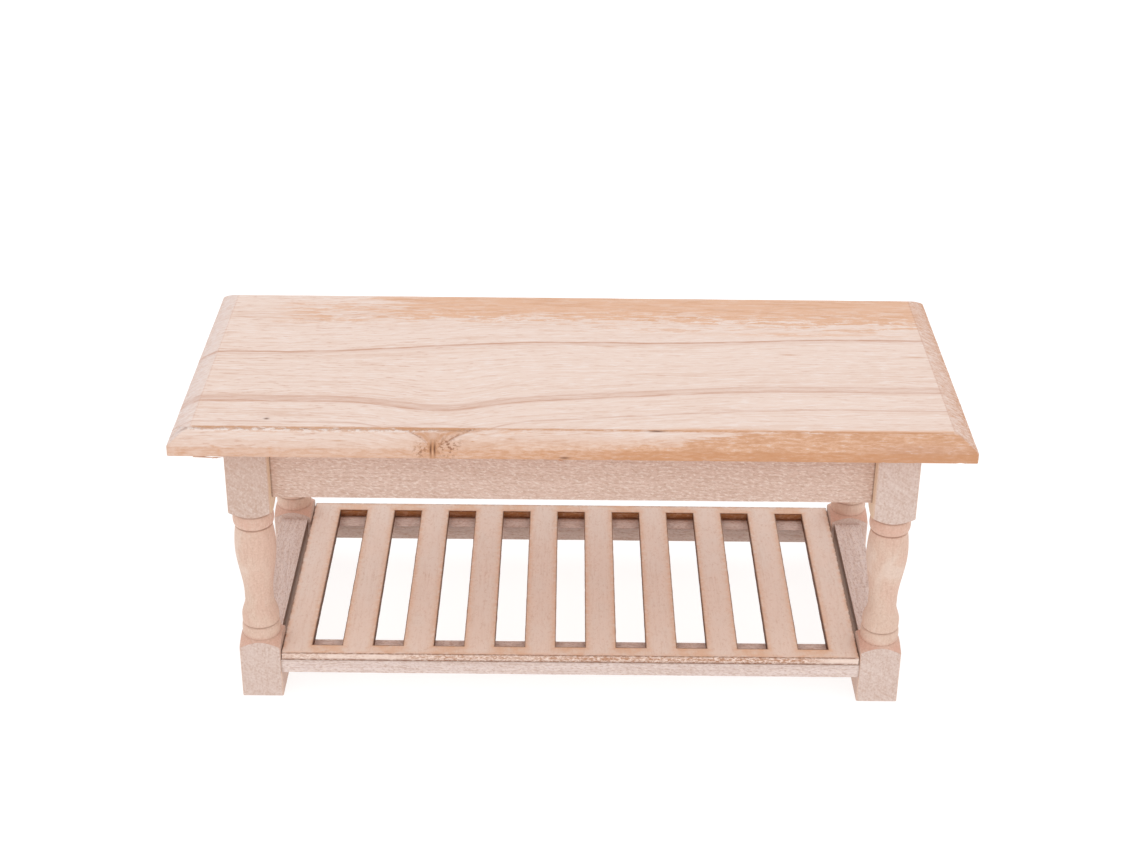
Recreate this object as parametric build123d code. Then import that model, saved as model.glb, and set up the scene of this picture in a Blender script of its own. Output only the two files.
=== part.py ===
from build123d import *
import os
from math import sqrt

# Miniature dining table in one-twelfth scale: a moulded top board on four turned legs,
# aprons under the top, and a slatted shelf on two rails between the feet.
# Millimetres, +Z up. +X is the table's length and -Y its front.
# The origin is on the floor under the middle of the table.

# ---- Overall sizes ----
TABLE_LENGTH = 152.4
TABLE_WIDTH = 68.2
TABLE_HEIGHT = 62.2

# ---- Top board: a sloping moulded edge over a short square edge ----
TOP_EDGE_HEIGHT = 2.0
MOULDING_DROP = 2.4
MOULDING_RUN = 4.0
MOULDING_CROWN = 0.18

# ---- Legs: square blocks at both ends, turned between them ----
# The top block reaches below the aprons, and the foot block above the stretchers.
LEG_SIZE = 8.2
LEG_INSET_X = 9.75
LEG_INSET_Y = 4.35
TOP_BLOCK_DROP = 2.0
FOOT_BLOCK_RISE = 0.2
TOP_SHOULDER_SLOPE = 0.70
FOOT_SHOULDER_SLOPE = 0.79

# Depth of each turned feature below the flat faces of the square blank.
BEAD_CUT = 0.05
VASE_CUT = 0.03
WAIST_CUT = 1.25
CUP_CUT = 0.42
LOWER_BEAD_CUT = 0.28
SHOULDER_CUT = 0.45
GROOVE_CUT = 0.75

# Heights of the turned features, from the shoulders towards the middle of the leg.
BEAD_HEIGHT = 2.8
GROOVE_HEIGHT = 0.4
LOWER_BEAD_HEIGHT = 2.5
CUP_LIP_HEIGHT = 1.5
CUP_FLARE_HEIGHT = 3.6
WAIST_HEIGHT = 1.5
VASE_SHOULDER_HEIGHT = 4.8

# ---- Aprons: boards on edge under the top, set back behind the leg faces ----
APRON_HEIGHT = 12.8
APRON_THICKNESS = 3.0
APRON_SETBACK = 2.8

# ---- Shelf rails and side stretchers, between the feet ----
RAIL_WIDTH = 7.2
RAIL_HEIGHT = 3.2
STRETCHER_WIDTH = 5.8
STRETCHER_HEIGHT = 5.5
STRETCHER_SETBACK = 0.75

# ---- Slatted shelf: one panel with a row of slots ----
SHELF_TOP_HEIGHT = 10.6
SHELF_THICKNESS = 1.6
SHELF_OVERHANG = 0.15
SHELF_END_GAP = 0.2
SLOT_COUNT = 9
SLOT_WIDTH = 6.0
SLOT_END_MARGIN = 3.0
END_SLAT_WIDTH = 5.9

# ---- Stub tenons and their mortises ----
APRON_TENON_THICKNESS = 1.4
APRON_TENON_SHOULDER = 1.9
APRON_TENON_WALL = 1.2
FOOT_TENON_LENGTH = 2.0
RAIL_TENON_WIDTH = 4.0
RAIL_TENON_HEIGHT = 1.8
STRETCHER_TENON_WIDTH = 3.0
STRETCHER_TENON_HEIGHT = 3.0
JOINT_CLEARANCE = 0.05

# ---- Places worked out from the sizes above ----
UNDERSIDE = TABLE_HEIGHT - TOP_EDGE_HEIGHT - MOULDING_DROP
LEG_OUTER_X = TABLE_LENGTH / 2 - LEG_INSET_X
LEG_OUTER_Y = TABLE_WIDTH / 2 - LEG_INSET_Y
LEG_INNER_X = LEG_OUTER_X - LEG_SIZE
LEG_INNER_Y = LEG_OUTER_Y - LEG_SIZE
LEG_X = LEG_OUTER_X - LEG_SIZE / 2
LEG_Y = LEG_OUTER_Y - LEG_SIZE / 2
APRON_X = LEG_OUTER_X - APRON_SETBACK - APRON_THICKNESS / 2
APRON_Y = LEG_OUTER_Y - APRON_SETBACK - APRON_THICKNESS / 2
APRON_Z = UNDERSIDE - APRON_HEIGHT / 2
# The tenons of two aprons meet in one leg, so each stops a wall short of the other's mortise.
APRON_TENON_LENGTH = APRON_X - APRON_TENON_THICKNESS / 2 - APRON_TENON_WALL - LEG_INNER_X
TOP_BLOCK_BOTTOM = UNDERSIDE - APRON_HEIGHT - TOP_BLOCK_DROP
RAIL_TOP = SHELF_TOP_HEIGHT - SHELF_THICKNESS
RAIL_Y = LEG_OUTER_Y - RAIL_WIDTH / 2
RAIL_Z = RAIL_TOP - RAIL_HEIGHT / 2
STRETCHER_X = LEG_INNER_X + STRETCHER_SETBACK + STRETCHER_WIDTH / 2
STRETCHER_Z = RAIL_TOP - RAIL_HEIGHT + STRETCHER_HEIGHT / 2
FOOT_BLOCK_TOP = STRETCHER_Z + STRETCHER_HEIGHT / 2 + FOOT_BLOCK_RISE


def block(size_x, size_y, size_z, centre):
    """A box of the given size about its centre."""
    return Pos(*centre) * Box(size_x, size_y, size_z)


def moulded_section(width):
    """Cross-section of the top board, with the moulded edge at both sides."""
    half = width / 2
    inner = half - MOULDING_RUN
    top = TOP_EDGE_HEIGHT + MOULDING_DROP
    slope = sqrt(MOULDING_RUN**2 + MOULDING_DROP**2)
    middle_x = (half + inner) / 2 + MOULDING_CROWN * MOULDING_DROP / slope
    middle_z = (TOP_EDGE_HEIGHT + top) / 2 + MOULDING_CROWN * MOULDING_RUN / slope
    outline = [
        Line((-half, 0), (half, 0)),
        Line((half, 0), (half, TOP_EDGE_HEIGHT)),
        ThreePointArc((half, TOP_EDGE_HEIGHT), (middle_x, middle_z), (inner, top)),
        Line((inner, top), (-inner, top)),
        ThreePointArc((-inner, top), (-middle_x, middle_z), (-half, TOP_EDGE_HEIGHT)),
        Line((-half, TOP_EDGE_HEIGHT), (-half, 0)),
    ]
    return make_face(outline)


def table_top():
    """The top board: its two moulded sections crossed, so that the corners are mitred."""
    across = extrude(Plane.XZ * moulded_section(TABLE_LENGTH), TABLE_WIDTH, both=True)
    along = extrude(Plane.YZ * moulded_section(TABLE_WIDTH), TABLE_LENGTH, both=True)
    return Pos(0, 0, UNDERSIDE) * (across & along)


def leg_outline():
    """Half section of the turning, as radius and height, out to past the blank's corners."""
    half = LEG_SIZE / 2
    corner = half * sqrt(2)
    beyond = corner + 1
    neck = half - SHOULDER_CUT
    groove = half - GROOVE_CUT

    foot_neck = FOOT_BLOCK_TOP + (corner - neck) * FOOT_SHOULDER_SLOPE
    foot_edge = FOOT_BLOCK_TOP - (beyond - corner) * FOOT_SHOULDER_SLOPE
    bead_top = foot_neck + LOWER_BEAD_HEIGHT
    lip_bottom = bead_top + GROOVE_HEIGHT
    lip_top = lip_bottom + CUP_LIP_HEIGHT
    waist_bottom = lip_top + CUP_FLARE_HEIGHT
    waist_top = waist_bottom + WAIST_HEIGHT

    top_neck = TOP_BLOCK_BOTTOM - (corner - neck) * TOP_SHOULDER_SLOPE
    top_edge = TOP_BLOCK_BOTTOM + (beyond - corner) * TOP_SHOULDER_SLOPE
    bead_bottom = top_neck - BEAD_HEIGHT
    vase_top = bead_bottom - GROOVE_HEIGHT
    vase_middle = vase_top - VASE_SHOULDER_HEIGHT

    cup_rim = (half - CUP_CUT, lip_top)
    waist_low = (half - WAIST_CUT, waist_bottom)
    waist_high = (half - WAIST_CUT, waist_top)
    vase = (half - VASE_CUT, vase_middle)
    upward = (0, 1)
    return [
        Line((0, 0), (beyond, 0)),
        Line((beyond, 0), (beyond, foot_edge)),
        Line((beyond, foot_edge), (neck, foot_neck)),
        ThreePointArc(
            (neck, foot_neck),
            (half - LOWER_BEAD_CUT, (foot_neck + bead_top) / 2),
            (neck, bead_top),
        ),
        Line((neck, bead_top), (groove, (bead_top + lip_bottom) / 2)),
        Line((groove, (bead_top + lip_bottom) / 2), (neck, lip_bottom)),
        TangentArc(cup_rim, (neck, lip_bottom), tangent=(0, -1)),
        Spline(cup_rim, waist_low, tangents=[upward, upward]),
        Line(waist_low, waist_high),
        Spline(waist_high, vase, tangents=[upward, upward]),
        TangentArc(vase, (neck, vase_top), tangent=upward),
        Line((neck, vase_top), (groove, (vase_top + bead_bottom) / 2)),
        Line((groove, (vase_top + bead_bottom) / 2), (neck, bead_bottom)),
        ThreePointArc(
            (neck, bead_bottom),
            (half - BEAD_CUT, (bead_bottom + top_neck) / 2),
            (neck, top_neck),
        ),
        Line((neck, top_neck), (beyond, top_edge)),
        Line((beyond, top_edge), (beyond, UNDERSIDE)),
        Line((beyond, UNDERSIDE), (0, UNDERSIDE)),
        Line((0, UNDERSIDE), (0, 0)),
    ]


def turned_blank():
    """A square blank turned between its end blocks, standing on the origin."""
    turning = revolve(Plane.XZ * make_face(leg_outline()), Axis.Z)
    blank = block(LEG_SIZE, LEG_SIZE, UNDERSIDE, (0, 0, UNDERSIDE / 2))
    return blank & turning


def apron_tenon(clearance=0):
    """Tenon of an apron along +X, starting at the origin; or its mortise, with a clearance."""
    length = APRON_TENON_LENGTH + clearance
    thickness = APRON_TENON_THICKNESS + 2 * clearance
    height = APRON_HEIGHT - 2 * APRON_TENON_SHOULDER + 2 * clearance
    return block(length, thickness, height, (length / 2, 0, 0))


def rail_tenon(clearance=0):
    """Tenon of a shelf rail along +X, starting at the origin; or its mortise."""
    length = FOOT_TENON_LENGTH + clearance
    width = RAIL_TENON_WIDTH + 2 * clearance
    height = RAIL_TENON_HEIGHT + 2 * clearance
    return block(length, width, height, (length / 2, 0, 0))


def stretcher_tenon(clearance=0):
    """Tenon of a side stretcher along +X, starting at the origin; or its mortise."""
    length = FOOT_TENON_LENGTH + clearance
    width = STRETCHER_TENON_WIDTH + 2 * clearance
    height = STRETCHER_TENON_HEIGHT + 2 * clearance
    return block(length, width, height, (length / 2, 0, 0))


def leg(side_x, side_y):
    """One leg in its corner, with mortises for two aprons, a shelf rail and a stretcher."""
    piece = Pos(side_x * LEG_X, side_y * LEG_Y, 0) * turned_blank()
    towards_x = 90 - side_x * 90
    along_y = Rot(0, 0, side_y * 90)
    along_x = Rot(0, 0, towards_x)
    inner_x = side_x * LEG_INNER_X
    inner_y = side_y * LEG_INNER_Y
    piece -= Pos(inner_x, side_y * APRON_Y, APRON_Z) * along_x * apron_tenon(JOINT_CLEARANCE)
    piece -= Pos(side_x * APRON_X, inner_y, APRON_Z) * along_y * apron_tenon(JOINT_CLEARANCE)
    piece -= Pos(inner_x, side_y * RAIL_Y, RAIL_Z) * along_x * rail_tenon(JOINT_CLEARANCE)
    stretcher_end = Pos(side_x * STRETCHER_X, inner_y, STRETCHER_Z)
    piece -= stretcher_end * along_y * stretcher_tenon(JOINT_CLEARANCE)
    return piece


def tenoned_bar(length, width, height, tenon):
    """A bar along X about the origin, with the same tenon at both ends."""
    bar = Box(length, width, height)
    bar += Pos(length / 2, 0, 0) * tenon
    bar += Pos(-length / 2, 0, 0) * Rot(0, 0, 180) * tenon
    return bar


def long_apron(side_y):
    """Front or rear apron, between the top blocks."""
    bar = tenoned_bar(2 * LEG_INNER_X, APRON_THICKNESS, APRON_HEIGHT, apron_tenon())
    return Pos(0, side_y * APRON_Y, APRON_Z) * bar


def short_apron(side_x):
    """Left or right apron, between the top blocks."""
    bar = tenoned_bar(2 * LEG_INNER_Y, APRON_THICKNESS, APRON_HEIGHT, apron_tenon())
    return Pos(side_x * APRON_X, 0, APRON_Z) * Rot(0, 0, 90) * bar


def shelf_rail(side_y):
    """Front or rear rail under the shelf, between the feet."""
    bar = tenoned_bar(2 * LEG_INNER_X, RAIL_WIDTH, RAIL_HEIGHT, rail_tenon())
    return Pos(0, side_y * RAIL_Y, RAIL_Z) * bar


def stretcher(side_x):
    """Left or right stretcher, between the feet, beside the end of the shelf."""
    bar = tenoned_bar(2 * LEG_INNER_Y, STRETCHER_WIDTH, STRETCHER_HEIGHT, stretcher_tenon())
    return Pos(side_x * STRETCHER_X, 0, STRETCHER_Z) * Rot(0, 0, 90) * bar


def slatted_shelf():
    """The shelf panel, lying on the two rails, with a slot between each pair of slats."""
    length = 2 * (LEG_INNER_X - SHELF_END_GAP)
    width = 2 * (LEG_OUTER_Y + SHELF_OVERHANG)
    middle_z = RAIL_TOP + SHELF_THICKNESS / 2
    panel = block(length, width, SHELF_THICKNESS, (0, 0, middle_z))
    pitch = (length - 2 * END_SLAT_WIDTH - SLOT_WIDTH) / (SLOT_COUNT - 1)
    slot_length = width - 2 * SLOT_END_MARGIN
    for index in range(SLOT_COUNT):
        x = (index - (SLOT_COUNT - 1) / 2) * pitch
        panel -= block(SLOT_WIDTH, slot_length, 2 * SHELF_THICKNESS, (x, 0, middle_z))
    return panel


SIDES_X = {"left": -1, "right": 1}
SIDES_Y = {"front": -1, "rear": 1}

parts = {"table_top": table_top(), "slatted_shelf": slatted_shelf()}
for name_y, side_y in SIDES_Y.items():
    parts["apron_" + name_y] = long_apron(side_y)
    parts["shelf_rail_" + name_y] = shelf_rail(side_y)
    for name_x, side_x in SIDES_X.items():
        parts["leg_" + name_y + "_" + name_x] = leg(side_x, side_y)
for name_x, side_x in SIDES_X.items():
    parts["apron_" + name_x] = short_apron(side_x)
    parts["stretcher_" + name_x] = stretcher(side_x)

os.makedirs("parts", exist_ok=True)
for name, shape in parts.items():
    export_step(shape, "parts/" + name + ".step")
    print(name, "volume", round(shape.volume, 2))
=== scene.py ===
import logging
import math
import random
from dataclasses import dataclass, field
from enum import Enum
from typing import Dict, List, Optional, Sequence, Tuple, Union

import bmesh
import bpy
from mathutils import Matrix, Vector, noise


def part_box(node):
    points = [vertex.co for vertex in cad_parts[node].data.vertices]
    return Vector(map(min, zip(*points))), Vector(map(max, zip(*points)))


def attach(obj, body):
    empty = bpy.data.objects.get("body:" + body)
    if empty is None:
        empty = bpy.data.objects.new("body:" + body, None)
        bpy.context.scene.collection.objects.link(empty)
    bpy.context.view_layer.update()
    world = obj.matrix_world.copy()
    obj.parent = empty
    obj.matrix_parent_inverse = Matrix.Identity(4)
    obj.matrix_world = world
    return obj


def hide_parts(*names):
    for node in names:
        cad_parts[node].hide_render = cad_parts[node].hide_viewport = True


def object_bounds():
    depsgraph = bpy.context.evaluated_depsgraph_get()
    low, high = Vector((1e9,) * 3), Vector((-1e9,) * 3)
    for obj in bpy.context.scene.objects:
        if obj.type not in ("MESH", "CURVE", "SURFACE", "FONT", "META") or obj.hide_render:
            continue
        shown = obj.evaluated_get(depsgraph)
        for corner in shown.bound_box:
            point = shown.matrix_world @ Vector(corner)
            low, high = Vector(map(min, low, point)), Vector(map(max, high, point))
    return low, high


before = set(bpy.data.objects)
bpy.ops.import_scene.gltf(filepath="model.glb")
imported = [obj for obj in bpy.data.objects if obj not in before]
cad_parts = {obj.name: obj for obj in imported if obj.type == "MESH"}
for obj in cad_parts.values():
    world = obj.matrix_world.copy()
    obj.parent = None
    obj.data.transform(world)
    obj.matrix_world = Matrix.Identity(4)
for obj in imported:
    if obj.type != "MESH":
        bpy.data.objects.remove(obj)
CAD_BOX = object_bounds()

MM = 0.001
ROOT = "root"
Colour = Tuple[float, float, float, float]
Number = Union[float, "Value"]
log = logging.getLogger("dining_table")


def rgb(red: float, green: float, blue: float) -> Colour:
    """A linear colour with full alpha."""
    return (red, green, blue, 1.0)


class Grain(Enum):
    """The way that a piece's fibres run."""

    ALONG_X = (0, 1, 2)
    ALONG_Y = (1, 0, 2)


# ---------------------------------------------------------------- shader maths


class Value:
    """One output of a node, with arithmetic that adds Math nodes to its tree."""

    def __init__(self, shader: "Shader", socket: bpy.types.NodeSocket) -> None:
        """Wraps a socket.

        Args:
            shader: the shader that owns the node.
            socket: the node's output.
        """
        self.shader = shader
        self.socket = socket

    def math(self, operation: str, *others: Number) -> "Value":
        """Adds a Math node.

        Args:
            operation: the node's operation.
            others: the operands after this one.

        Returns:
            The node's result.
        """
        return self.shader.maths(operation, self, *others)

    def __add__(self, other: Number) -> "Value":
        """This plus other."""
        return self.math("ADD", other)

    def __radd__(self, other: Number) -> "Value":
        """Other plus this."""
        return self.math("ADD", other)

    def __sub__(self, other: Number) -> "Value":
        """This minus other."""
        return self.math("SUBTRACT", other)

    def __rsub__(self, other: Number) -> "Value":
        """Other minus this."""
        return self.shader.maths("SUBTRACT", other, self)

    def __mul__(self, other: Number) -> "Value":
        """This times other."""
        return self.math("MULTIPLY", other)

    def __rmul__(self, other: Number) -> "Value":
        """Other times this."""
        return self.math("MULTIPLY", other)

    def __truediv__(self, other: Number) -> "Value":
        """This divided by other."""
        return self.math("DIVIDE", other)

    def __neg__(self) -> "Value":
        """Minus this."""
        return self.math("MULTIPLY", -1.0)

    def __abs__(self) -> "Value":
        """The size of this, without its sign."""
        return self.math("ABSOLUTE")

    def bell(self, width: Number) -> "Value":
        """A soft bump of height 1 where this is 0.

        Args:
            width: how far out the bump falls to about a third.

        Returns:
            The bump's height.
        """
        share = self / width
        return self.shader.maths("EXPONENT", -(share * share))

    def rise(self, low: float, high: float) -> "Value":
        """A soft step from 0 to 1.

        Args:
            low: where the step starts; it may be more than high, for a falling step.
            high: where the step ends.

        Returns:
            The step's height.
        """
        settings = {"interpolation_type": "SMOOTHSTEP"}
        inputs = {"Value": self, "From Min": low, "From Max": high}
        return self.shader.node("ShaderNodeMapRange", settings, inputs)


class Shader:
    """A node tree of a material or of the surround, with the kinds of node used here."""

    def __init__(self, owner: Union[bpy.types.Material, bpy.types.World]) -> None:
        """Empties a tree.

        Args:
            owner: the material or the world that has the tree.
        """
        owner.use_nodes = True
        self.owner = owner
        self.tree = owner.node_tree
        self.tree.nodes.clear()

    @classmethod
    def named(cls, name: str) -> "Shader":
        """The tree of a new material."""
        return cls(bpy.data.materials.new(name))

    def add(
        self, kind: str, settings: Dict[str, object], inputs: Dict[object, object]
    ) -> bpy.types.Node:
        """Adds any node to the tree.

        Args:
            kind: the node's type name.
            settings: properties to set first; "stops" holds a ramp's places and colours.
            inputs: a number, colour or Value for each named or numbered input.

        Returns:
            The node.
        """
        made = self.tree.nodes.new(kind)
        for key, setting in settings.items():
            if key == "stops":
                self._set_stops(made.color_ramp, setting)
            else:
                setattr(made, key, setting)
        for key, given in inputs.items():
            if isinstance(given, Value):
                self.tree.links.new(given.socket, made.inputs[key])
            else:
                made.inputs[key].default_value = given
        return made

    def node(
        self,
        kind: str,
        settings: Dict[str, object],
        inputs: Dict[object, object],
        output: Union[int, str] = 0,
    ) -> Value:
        """Adds any node and returns the chosen output."""
        return Value(self, self.add(kind, settings, inputs).outputs[output])

    @staticmethod
    def _set_stops(ramp: bpy.types.ColorRamp, stops: Sequence[Tuple[float, Colour]]) -> None:
        """Gives a ramp its stops.

        Args:
            ramp: the ramp to fill.
            stops: a place from 0 to 1 and a colour for each stop.
        """
        while len(ramp.elements) < len(stops):
            ramp.elements.new(1.0)
        for element, (place, colour) in zip(ramp.elements, stops):
            element.position = place
            element.color = colour

    def maths(self, operation: str, *operands: Number) -> Value:
        """Adds a Math node on numbers or values."""
        return self.node("ShaderNodeMath", {"operation": operation}, dict(enumerate(operands)))

    def position(self) -> Tuple[Value, Value, Value]:
        """The point on the object in millimetres, as its X, Y and Z."""
        point = self.node("ShaderNodeTexCoord", {}, {}, "Object")
        scaled = self.node(
            "ShaderNodeVectorMath", {"operation": "SCALE"}, {"Vector": point, "Scale": 1 / MM}
        )
        names = ("X", "Y", "Z")
        split = self.node("ShaderNodeSeparateXYZ", {}, {"Vector": scaled})
        outputs = split.socket.node.outputs
        return tuple(Value(self, outputs[name]) for name in names)

    def vector(self, x: Number, y: Number, z: Number) -> Value:
        """A vector from three numbers or values."""
        return self.node("ShaderNodeCombineXYZ", {}, {"X": x, "Y": y, "Z": z})

    def cloud(
        self, place: Value, detail: float = 3.0, roughness: float = 0.55, swirl: float = 0.0
    ) -> Value:
        """Soft noise from 0 to 1 about one unit across.

        Args:
            place: the vector to look up.
            detail: how many finer layers it has.
            roughness: how strong the finer layers are.
            swirl: how far the pattern is bent by itself.

        Returns:
            The noise.
        """
        inputs = {
            "Vector": place,
            "Scale": 1.0,
            "Detail": detail,
            "Roughness": roughness,
            "Distortion": swirl,
        }
        return self.node("ShaderNodeTexNoise", {}, inputs)

    def mix(self, share: Number, first: object, second: object) -> Value:
        """A colour between two others.

        Args:
            share: 0 for the first colour and 1 for the second.
            first: a colour or a Value.
            second: a colour or a Value.

        Returns:
            The mixed colour.
        """
        settings = {"data_type": "RGBA", "clamp_factor": True}
        return self.node("ShaderNodeMix", settings, {0: share, 6: first, 7: second}, 2)

    def finish(
        self,
        colour: object,
        roughness: Number,
        height: Optional[Value] = None,
        depth: float = 0.0,
        glow: float = 0.0,
    ) -> bpy.types.Material:
        """Closes the tree with a bare matt surface.

        Args:
            colour: the base colour.
            roughness: the roughness.
            height: relief from 0 to 1, or None for a flat surface.
            depth: the relief's depth in metres.
            glow: how much white light the surface gives out.

        Returns:
            The finished material.
        """
        inputs = {"Base Color": colour, "Roughness": roughness, "Specular IOR Level": 0.25}
        inputs.update({"Emission Color": rgb(1.0, 1.0, 1.0), "Emission Strength": glow})
        if height is not None:
            bump_inputs = {"Strength": 1.0, "Distance": depth, "Height": height}
            inputs["Normal"] = self.node("ShaderNodeBump", {}, bump_inputs)
        surface = self.node("ShaderNodeBsdfPrincipled", {}, inputs)
        self.add("ShaderNodeOutputMaterial", {}, {"Surface": surface})
        return self.owner


# ---------------------------------------------------------------- finishes


@dataclass(frozen=True)
class SawnWood:
    """Bare sawn wood with fine wavy growth lines, for the aprons, rails and stretchers, with painted shade at the
    joints and on shaded faces.
    """

    name: str
    grain: Grain
    joint: float
    pale: Colour = rgb(0.715, 0.520, 0.438)
    streak: Colour = rgb(0.480, 0.285, 0.200)
    fuzz: Colour = rgb(0.860, 0.715, 0.635)
    # Colour of the painted shade at the leg joints, on the stretchers' inner sides and on the rails.
    shade: Colour = rgb(0.190, 0.100, 0.060)
    spacing: float = 0.95
    lines: float = 0.20
    # Strength of the painted shade where the bar meets a leg face.
    joint_shade: float = 0.62
    # Where the painted shade on a stretcher's inner side lies, and the top that it stays below, in millimetres.
    shaded_side: float = 0.0
    shaded_top: float = 0.0
    # Where the painted shadow on a rail's top begins, and where the rail's shaded inner face lies, in millimetres.
    shadow_start: float = 0.0
    inner: float = 0.0
    seed: float = 0.0

    def make(self) -> bpy.types.Material:
        """Builds the material."""
        shader = Shader.named(self.name)
        axes = shader.position()
        along, across, deep = (axes[index] for index in self.grain.value)
        slow = shader.cloud(shader.vector(along / 34, across / 9, self.seed), 2.0) - 0.5
        quick = shader.cloud(shader.vector(along / 4, across / 1.2, self.seed), 3.0) - 0.5
        line = across + deep * 0.6 + slow * 4.5 + quick * 0.45
        if self.grain is Grain.ALONG_X:
            line = deep + across * 0.6 + slow * 4.5 + quick * 0.45
        growth = (line * (2 * math.pi / self.spacing)).math("SINE").rise(0.35, 1.0)
        broken = shader.cloud(shader.vector(along / 6, line / 0.7, deep), 3.0, 0.6).rise(0.38, 0.60)
        fibre = shader.cloud(shader.vector(along / 5, line / 0.50, self.seed), 4.0, 0.68)
        band = shader.cloud(shader.vector(along / 40, line / 2.2, self.seed), 3.0, 0.6)
        pore = shader.cloud(shader.vector(along / 0.8, line / 0.32, self.seed), 2.0, 0.55)
        colour = shader.mix(band.rise(0.42, 0.66) * 0.18, self.pale, self.streak)
        colour = shader.mix(growth * broken * self.lines, colour, self.streak)
        colour = shader.mix(fibre.rise(0.48, 0.64) * 0.30, colour, self.streak)
        colour = shader.mix(pore.rise(0.52, 0.62) * 0.40, colour, self.streak)
        slant = along / 0.9 + line * 1.1
        tuft = shader.cloud(shader.vector(slant, line / 0.42, across / 0.9), 3.0, 0.68)
        colour = shader.mix(tuft.rise(0.53, 0.62) * 0.60, colour, self.fuzz)
        colour = shader.mix(tuft.rise(0.46, 0.38) * 0.24, colour, self.streak)
        # Painted shade: a dark line at each end of the bar, where the shadow in the joint with the leg falls.
        joint_shade = (abs(along) - self.joint + 0.08).bell(0.17)
        colour = shader.mix(joint_shade * self.joint_shade, colour, self.shade)
        # Painted shade on the stretcher's inner side face, in the gap beside the shelf.
        if self.shaded_side:
            side = (abs(across) - self.shaded_side).bell(0.14) * deep.rise(self.shaded_top - 0.04, self.shaded_top - 0.14)
            colour = shader.mix(side * 0.88, colour, self.shade)
        # Painted shadow on the rail's top under the ply at the slot ends, and painted shade on the rail's inner face.
        if self.shadow_start:
            under = abs(across).rise(self.shadow_start - 0.9, self.shadow_start - 0.1) * deep.rise(8.6, 8.9)
            colour = shader.mix(under * 0.72, colour, self.shade)
            inner = abs(across).rise(self.inner + 0.10, self.inner + 0.02)
            colour = shader.mix(inner * 0.44, colour, self.shade)
        height = fibre * 0.6 + pore * 0.6 + tuft * 0.5 - growth * broken * 0.3
        return shader.finish(colour, 0.80, height, 0.00011)


@dataclass(frozen=True)
class TurnedWood:
    """Smooth turned wood between square blocks with slanting saw marks, for the legs, with painted light and shade on
    the blocks and in the grooves.
    """

    name: str
    axis: Tuple[float, float]
    half: float
    foot_top: float
    grooves: Tuple[float, ...]
    pale: Colour = rgb(0.730, 0.525, 0.420)
    blush: Colour = rgb(0.700, 0.400, 0.310)
    square: Colour = rgb(0.685, 0.530, 0.468)
    streak: Colour = rgb(0.500, 0.305, 0.215)
    # Colour of the scrape marks, also used for a painted highlight.
    scrape_and_highlight: Colour = rgb(0.880, 0.760, 0.690)
    # Colour of the painted shade in the grooves.
    shade: Colour = rgb(0.280, 0.160, 0.110)
    # Colour of the painted light on the top blocks' inner sides.
    side_light: Colour = rgb(0.860, 0.640, 0.420)

    def make(self) -> bpy.types.Material:
        """Builds the material."""
        shader = Shader.named(self.name)
        x, y, z = shader.position()
        foot_neck, lower, upper, top_neck = self.grooves
        reach_x = abs(abs(x) - self.axis[0])
        reach_y = abs(abs(y) - self.axis[1])
        flat = reach_x.math("MAXIMUM", reach_y).rise(self.half - 0.028, self.half - 0.010)
        sawn = flat * (z.rise(top_neck - 0.1, top_neck) + z.rise(foot_neck + 0.1, foot_neck))

        fibre = shader.cloud(shader.vector(x / 0.45, y / 0.45, z / 5), 4.0, 0.66)
        patch = shader.cloud(shader.vector(x / 5, y / 5, z / 8), 2.0)
        speck = shader.cloud(shader.vector(x / 0.34, y / 0.34, z / 0.40), 2.0, 0.55)
        colour = shader.mix(sawn, self.pale, self.square)
        # Painted shade: the front left leg's top block is darkened.
        left_block_shade = x.rise(-50, -58) * y.rise(-10, -20) * z.rise(top_neck, top_neck + 0.5)
        colour = shader.mix(left_block_shade * 0.34, colour, self.streak)
        bead = (z - (upper + top_neck) / 2).bell(1.6) * 0.36 + (z - self.foot_top - 0.9).bell(1.1) * 0.55
        warm = patch.rise(0.42, 0.66) * 0.28 + bead
        colour = shader.mix(warm * (1 - sawn), colour, self.blush)
        colour = shader.mix(fibre.rise(0.48, 0.66) * 0.22, colour, self.streak)
        colour = shader.mix(speck.rise(0.50, 0.70) * (sawn * 0.16 + 0.26), colour, self.streak)
        colour = shader.mix(speck.rise(0.48, 0.32) * (sawn * 0.10 + 0.18), colour, self.scrape_and_highlight)
        # Painted highlight: a soft pale band round the upper part of the turning.
        vase_highlight = (z - (lower + upper) / 2 - 5).bell(5.5) * patch.rise(0.5, 0.4) * (1 - sawn)
        colour = shader.mix(vase_highlight * 0.25, colour, self.scrape_and_highlight)

        # Painted shade in the grooves and necks, broken up by noise.
        shade_patchiness = shader.cloud(shader.vector(x / 1.5, y / 1.5, z / 2), 2.0) + 0.4
        for level, strength in zip(self.grooves, (0.20, 0.34, 0.34, 0.42)):
            line = (z - level).bell(0.15) * shade_patchiness * (1 - sawn)
            colour = shader.mix(line * strength, colour, self.shade)
        slant = z * 0.8 + x * 0.55 + y * 0.55
        saw = shader.cloud(shader.vector(slant / 0.38, (x + y) / 6, z / 9), 2.0, 0.6)
        colour = shader.mix(saw.rise(0.52, 0.70) * 0.19 * sawn, colour, self.streak)
        colour = shader.mix(saw.rise(0.46, 0.34) * 0.12 * sawn, colour, self.scrape_and_highlight)
        # Painted light on the top blocks' inner side faces, and painted shade on the feet's inner side faces.
        inner = (abs(x) - self.axis[0] + self.half).bell(0.12) * sawn
        colour = shader.mix(inner * z.rise(30, 32) * 0.60, colour, self.side_light)
        colour = shader.mix(inner * z.rise(32, 30) * 0.38, colour, self.streak)
        ring = shader.cloud(shader.vector(z / 0.30, 0.5, 0.5), 2.0, 0.6)
        height = fibre * 0.4 + speck * 0.6 + ring * (1 - sawn) * 0.4 + saw * sawn * 0.7
        return shader.finish(colour, 0.70, height, 0.00007)


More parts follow.
